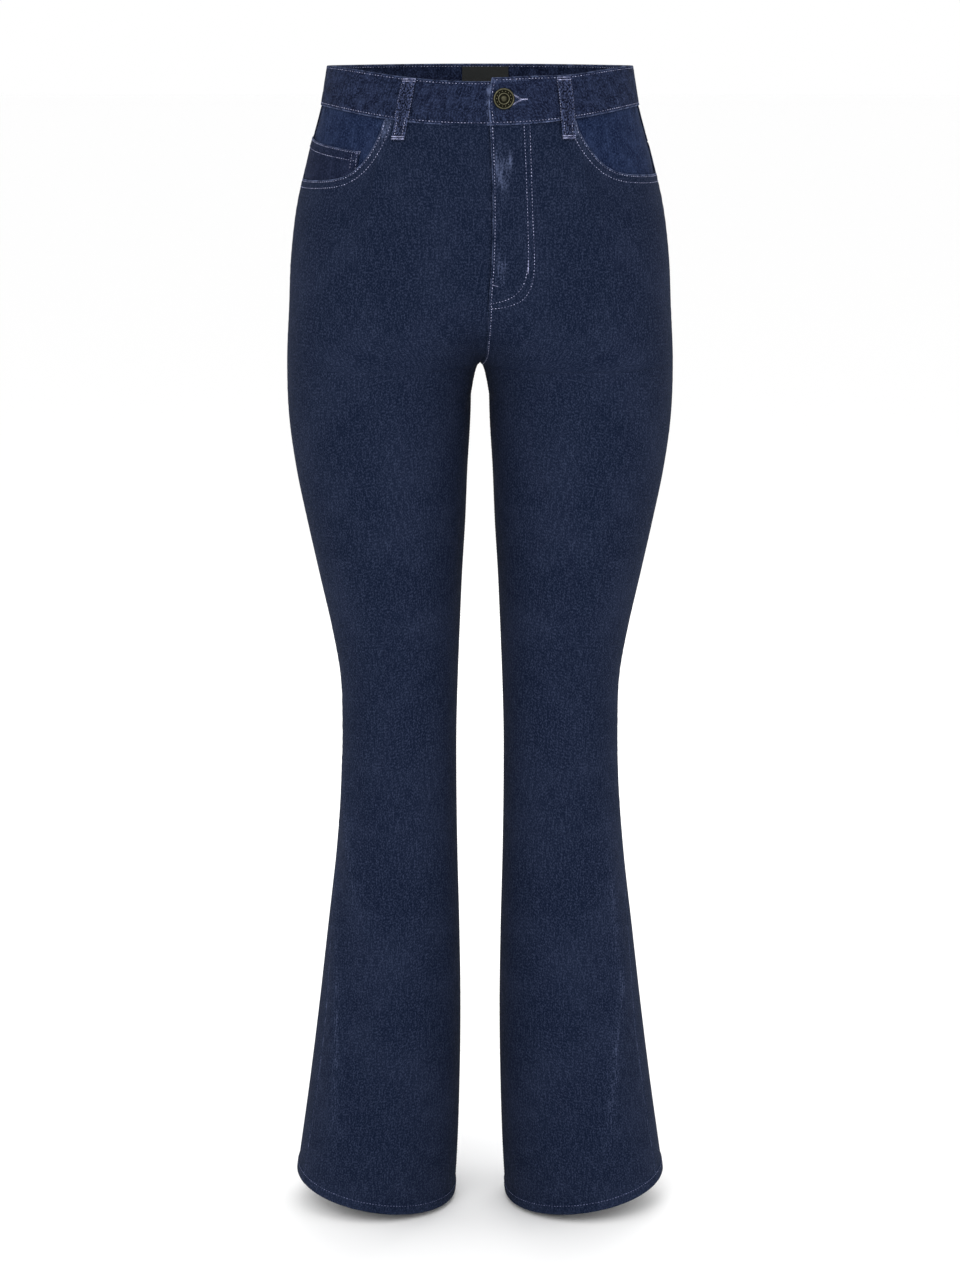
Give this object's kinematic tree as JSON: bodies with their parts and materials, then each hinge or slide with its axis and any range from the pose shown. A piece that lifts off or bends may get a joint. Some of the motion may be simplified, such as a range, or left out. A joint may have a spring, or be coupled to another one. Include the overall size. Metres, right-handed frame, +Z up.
{
  "type": "flared jeans",
  "caption": "High-waisted flared jeans in dark rinsed denim, filled out and hollow, with scoop pockets, a fly, a waistband with belt loops and a brass button",
  "frame": {"origin": "middle of the waist, half way up the waistband at the sides, where the wearer's waist holds the jeans", "axes": "+Z up along the body, the front faces -Y, +X towards the wearer's left, which is the viewer's right"},
  "size_m": [0.3608, 0.2352, 1.0966],
  "materials": {
    "denim": "dark rinsed stretch denim, fine twill",
    "band_denim": "dark rinsed denim, doubled, slightly puckered and mottled",
    "facing_denim": "dark rinsed denim, slightly lighter",
    "loop_denim": "dark denim with worn, speckled edges",
    "old_brass": "antique brass, darkened in the grooves",
    "black_tape": "plain black woven tape"
  },
  "bodies": {
    "root": {"waistband": "band_denim", "front_right": "denim", "front_left": "denim", "back_right": "denim", "back_left": "denim", "yoke_right": "denim", "yoke_left": "denim", "pocket_facing_right": "facing_denim", "pocket_facing_left": "facing_denim", "back_pocket_right": "denim", "back_pocket_left": "denim", "coin_pocket": "facing_denim", "belt_loop_front_right": "loop_denim", "belt_loop_front_left": "loop_denim", "belt_loop_back_right": "loop_denim", "belt_loop_back_left": "loop_denim", "belt_loop_back_centre": "loop_denim", "button": "old_brass", "label": "black_tape"}
  },
  "joints": []
}
